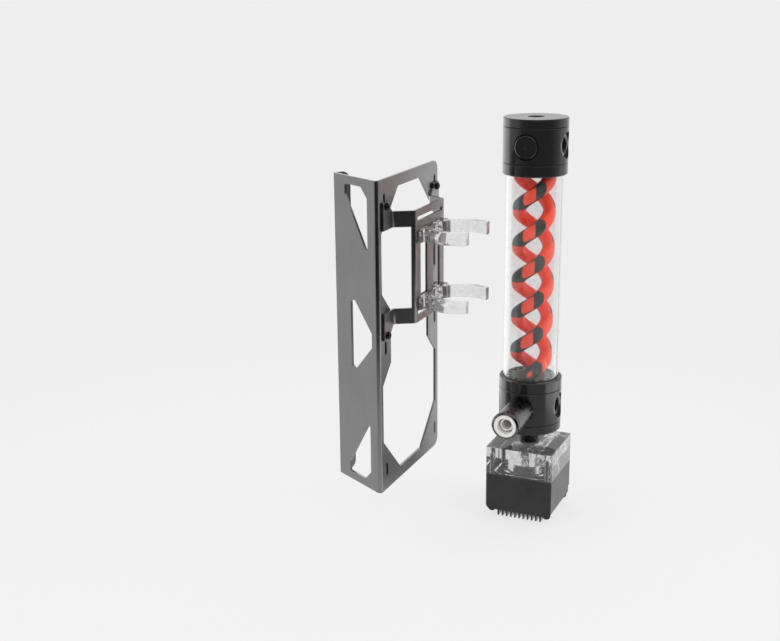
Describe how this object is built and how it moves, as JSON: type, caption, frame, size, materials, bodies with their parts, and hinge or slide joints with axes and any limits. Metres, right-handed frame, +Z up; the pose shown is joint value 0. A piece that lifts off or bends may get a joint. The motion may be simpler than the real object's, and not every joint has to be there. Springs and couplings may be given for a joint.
{
  "type": "water cooling reservoir",
  "caption": "Clear tube coolant reservoir with a red double helix, black caps and a pump below, beside a folded fan bracket with two sliding clear clips.",
  "frame": {"origin": "middle of the near pair of lower fan slots, on the face that lies against the fan", "axes": "+X out of the fan face towards the clips, +Y across the wide flange away from its bend, +Z up"},
  "size_m": [0.1583, 0.1946, 0.3637],
  "materials": {
    "dark_sheet": "dark grey powder coat on bent sheet steel",
    "black_steel": "black oxide screws, nuts and straps",
    "clear_acrylic": "clear cast acrylic, polished",
    "black_anodised": "black anodised turned aluminium, satin",
    "black_rubber": "black nitrile rubber",
    "red_strand": "red moulded acrylic",
    "dark_band": "dark grey moulded acrylic",
    "black_brass": "black plated brass",
    "bright_nickel": "bright nickel plate",
    "black_plastic": "black glass filled plastic",
    "white_ceramic": "ground white ceramic",
    "dark_magnet": "sintered ring magnet",
    "core_iron": "stacked electrical steel",
    "copper_wire": "enamelled copper windings",
    "green_board": "green solder mask",
    "dark_housing": "dark anodised machined aluminium"
  },
  "bodies": {
    "stand": {"main_bracket": "dark_sheet", "reservoir_tube": "clear_acrylic", "bottom_collar": "black_anodised", "bottom_cap": "black_anodised", "bottom_end_plate": "black_anodised", "top_collar": "black_anodised", "top_cap": "black_anodised", "top_end_plate": "black_anodised", "bottom_tube_seal": "black_rubber", "top_tube_seal": "black_rubber", "helix_strand_a": "red_strand", "helix_strand_b": "red_strand", "helix_base": "dark_band", "helix_ring": "dark_band", "fitting_seal": "black_rubber", "fitting_body": "black_brass", "pump_coupler": "black_brass", "coupler_upper_seal": "black_rubber", "coupler_lower_seal": "black_rubber", "pump_top": "clear_acrylic", "pump_gasket": "black_rubber", "motor_well": "black_plastic", "motor_shaft": "white_ceramic", "stator_core": "core_iron", "stator_coils": "copper_wire", "circuit_board": "green_board", "pump_housing": "dark_housing", "pump_bolts": "black_steel"},
    "carrier": {"clip_carrier": "dark_sheet", "carrier_screws": "black_steel", "carrier_nuts": "black_steel"},
    "upper_clip_slider": {"upper_clip": "clear_acrylic", "upper_clip_strap": "black_steel", "upper_clip_screws": "black_steel"},
    "lower_clip_slider": {"lower_clip": "clear_acrylic", "lower_clip_strap": "black_steel", "lower_clip_screws": "black_steel"},
    "rotor": {"impeller": "black_plastic", "rotor_magnet": "dark_magnet"},
    "turning_collar": {"fitting_collar": "black_brass", "fitting_ring": "bright_nickel"},
    "screw_plug": {"front_plug": "black_anodised", "front_plug_seal": "black_rubber"}
  },
  "joints": [
    {"name": "impeller_spin", "type": "hinge", "parent": "stand", "child": "rotor", "pos_m": [0.077, 0.1519, -0.0966], "axis": [0, 0, 1], "continuous": true},
    {"name": "carrier_height", "type": "slide", "parent": "stand", "child": "carrier", "axis": [0, 0, 1], "range_m": [-0.0002, 0.0082]},
    {"name": "upper_clip_height", "type": "slide", "parent": "carrier", "child": "upper_clip_slider", "axis": [0, 0, 1], "range_m": [-0.022, 0.0028]},
    {"name": "lower_clip_height", "type": "slide", "parent": "carrier", "child": "lower_clip_slider", "axis": [0, 0, 1], "range_m": [-0.0028, 0.022]},
    {"name": "collar_turn", "type": "hinge", "parent": "stand", "child": "turning_collar", "pos_m": [0.077, 0.1519, -0.0325], "axis": [0, -1, 0], "range_deg": [0, 360]},
    {"name": "plug_turn", "type": "hinge", "parent": "stand", "child": "screw_plug", "pos_m": [0.077, 0.1519, 0.202], "axis": [0, -1, 0], "range_deg": [0, 360]}
  ]
}
